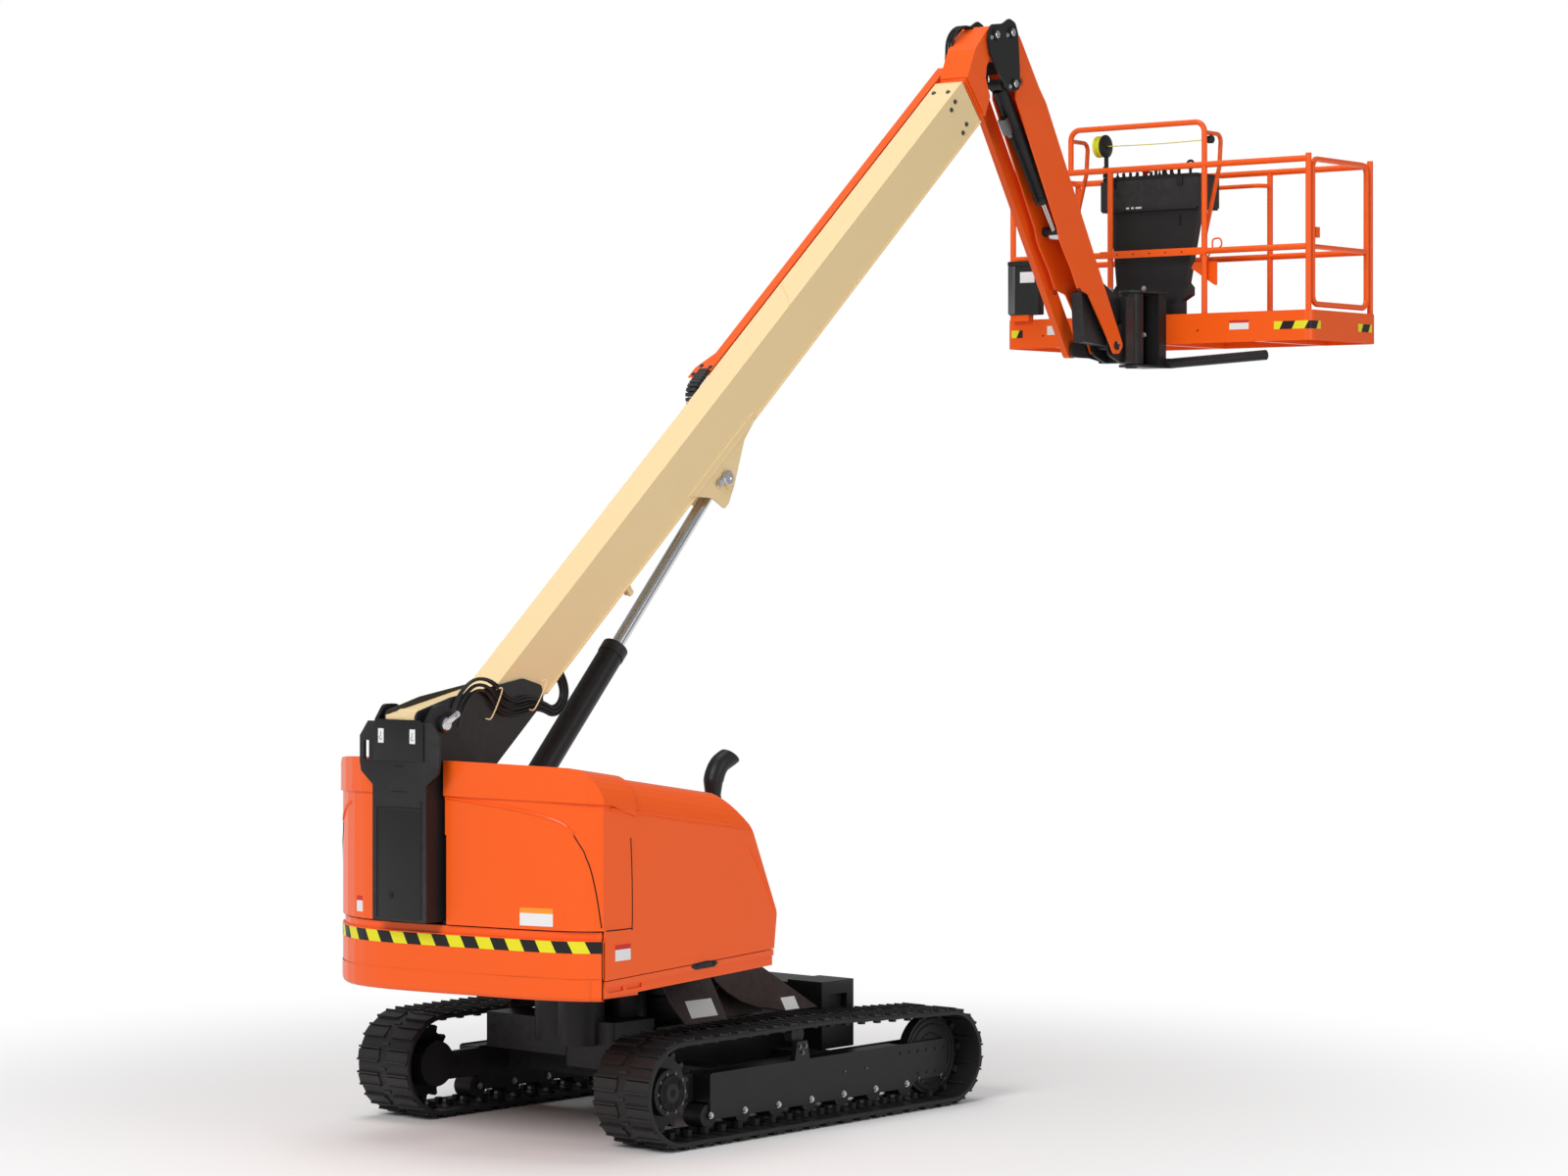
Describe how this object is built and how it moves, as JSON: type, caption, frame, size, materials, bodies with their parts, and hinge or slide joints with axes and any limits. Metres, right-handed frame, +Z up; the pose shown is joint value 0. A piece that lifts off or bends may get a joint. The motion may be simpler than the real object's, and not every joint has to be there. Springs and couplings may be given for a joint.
{
  "type": "crawler telescopic boom lift",
  "caption": "Self-propelled access platform on rubber tracks with a turntable, telescopic boom, levelled jib and a railed work platform.",
  "frame": {"origin": "on the ground under the centre of the swing bearing", "axes": "+X forward along the boom as parked, +Y to the machine's left, +Z up"},
  "size_m": [8.285, 2.5349, 6.5779],
  "materials": {
    "orange_paint": "gloss",
    "cream_paint": "satin",
    "black_paint": "satin",
    "track_rubber": "matte",
    "cast_dark": "satin",
    "rod_chrome": "polished",
    "console_plastic": "matte"
  },
  "bodies": {
    "undercarriage": {"track_left": "track_rubber", "track_right": "track_rubber", "track_frame_left": "black_paint", "track_frame_right": "black_paint", "track_rollers": "cast_dark", "drive_sprockets": "cast_dark", "carbody": "black_paint", "deck_covers": "black_paint"},
    "turntable": {"turntable_deck": "black_paint", "counterweight": "orange_paint", "boom_column": "black_paint", "hood_sills": "orange_paint", "engine_block": "cast_dark", "exhaust_stack": "black_paint"},
    "hood_right": {"hood_right": "orange_paint"},
    "hood_left": {"hood_left": "orange_paint"},
    "main_boom": {"base_boom": "cream_paint", "boom_heel_plates": "black_paint", "chain_tray": "cream_paint"},
    "fly_boom": {"fly_boom": "cream_paint", "fly_head": "orange_paint", "cable_channel": "orange_paint"},
    "lift_barrel": {"lift_cylinder_barrel": "black_paint"},
    "lift_rod": {"lift_cylinder_rod": "rod_chrome"},
    "jib_bracket": {"jib_bracket": "black_paint"},
    "jib_arm": {"jib_arm": "orange_paint"},
    "jib_link": {"jib_link": "orange_paint"},
    "jib_barrel": {"jib_cylinder_barrel": "black_paint"},
    "jib_rod": {"jib_cylinder_rod": "rod_chrome"},
    "platform_support": {"platform_support": "black_paint"},
    "platform": {"platform_carrier": "black_paint", "platform_floor": "orange_paint", "platform_rails": "orange_paint", "control_console": "console_plastic"},
    "gate": {"platform_gate": "orange_paint"}
  },
  "joints": [
    {"name": "turntable_swing", "type": "hinge", "parent": "undercarriage", "child": "turntable", "pos_m": [0, 0, 0.7], "axis": [0, 0, 1], "continuous": true},
    {"name": "hood_right_lift", "type": "hinge", "parent": "turntable", "child": "hood_right", "pos_m": [-2.075, -0.111, 2.085], "axis": [-0.9891, 0, 0.1471], "range_deg": [0, 60]},
    {"name": "hood_left_lift", "type": "hinge", "parent": "turntable", "child": "hood_left", "pos_m": [-2.075, 0.333, 2.085], "axis": [0.9891, 0, -0.1471], "range_deg": [0, 60]},
    {"name": "boom_lift", "type": "hinge", "parent": "turntable", "child": "main_boom", "pos_m": [-2.03, 0.111, 2.288], "axis": [0, -1, 0], "range_deg": [-38, 32]},
    {"name": "telescope", "type": "slide", "parent": "main_boom", "child": "fly_boom", "axis": [0.766, 0, 0.6428], "range_m": [0, 3.4]},
    {"name": "jib_level", "type": "hinge", "parent": "fly_boom", "child": "jib_bracket", "pos_m": [3.19333, 0.111, 6.46464], "axis": [0, -1, 0], "range_deg": [-33, 39]},
    {"name": "jib_lift", "type": "hinge", "parent": "jib_bracket", "child": "jib_arm", "pos_m": [3.36833, 0.111, 6.49464], "axis": [0, -1, 0], "range_deg": [-5, 137]},
    {"name": "jib_link_turn", "type": "hinge", "parent": "jib_bracket", "child": "jib_link", "pos_m": [3.19333, 0.111, 6.46464], "axis": [0, -1, 0], "range_deg": [-6, 138]},
    {"name": "platform_level", "type": "hinge", "parent": "jib_arm", "child": "platform_support", "pos_m": [4.63339, 0.111, 4.53917], "axis": [0, -1, 0], "range_deg": [-138, 6]},
    {"name": "platform_rotate", "type": "hinge", "parent": "platform_support", "child": "platform", "pos_m": [4.96, 0.111, 4.53917], "axis": [0, 0, 1], "range_deg": [-90, 90]},
    {"name": "gate_swing", "type": "hinge", "parent": "platform", "child": "gate", "pos_m": [6.034, -1.073, 5], "axis": [0, 0, -1], "range_deg": [0, 90]},
    {"name": "lift_barrel_turn", "type": "hinge", "parent": "turntable", "child": "lift_barrel", "pos_m": [-1.7281, 0.111, 1.25], "axis": [0, -1, 0], "range_deg": [-32.35, 27.4]},
    {"name": "lift_rod_slide", "type": "slide", "parent": "lift_barrel", "child": "lift_rod", "axis": [0.6913, 0, 0.7226], "range_m": [-0.9904, 0.8356]},
    {"name": "jib_barrel_turn", "type": "hinge", "parent": "jib_bracket", "child": "jib_barrel", "pos_m": [3.39833, 0.111, 6.16964], "axis": [0, -1, 0], "range_deg": [-5.88, 134.85]},
    {"name": "jib_rod_slide", "type": "slide", "parent": "jib_barrel", "child": "jib_rod", "axis": [0.5861, 0, -0.8103], "range_m": [-0.032, 0.6123]}
  ],
  "couplings": [
    {"joint": "jib_level", "follows": "boom_lift", "ratio": -1},
    {"joint": "lift_barrel_turn", "follows": "boom_lift", "ratio": 0.825},
    {"joint": "lift_rod_slide", "follows": "boom_lift", "m_per_rad": 1.4782},
    {"joint": "jib_link_turn", "follows": "jib_lift", "ratio": 1},
    {"joint": "platform_level", "follows": "jib_lift", "ratio": -1},
    {"joint": "jib_barrel_turn", "follows": "jib_lift", "ratio": 0.977},
    {"joint": "jib_rod_slide", "follows": "jib_lift", "m_per_rad": 0.2519}
  ]
}
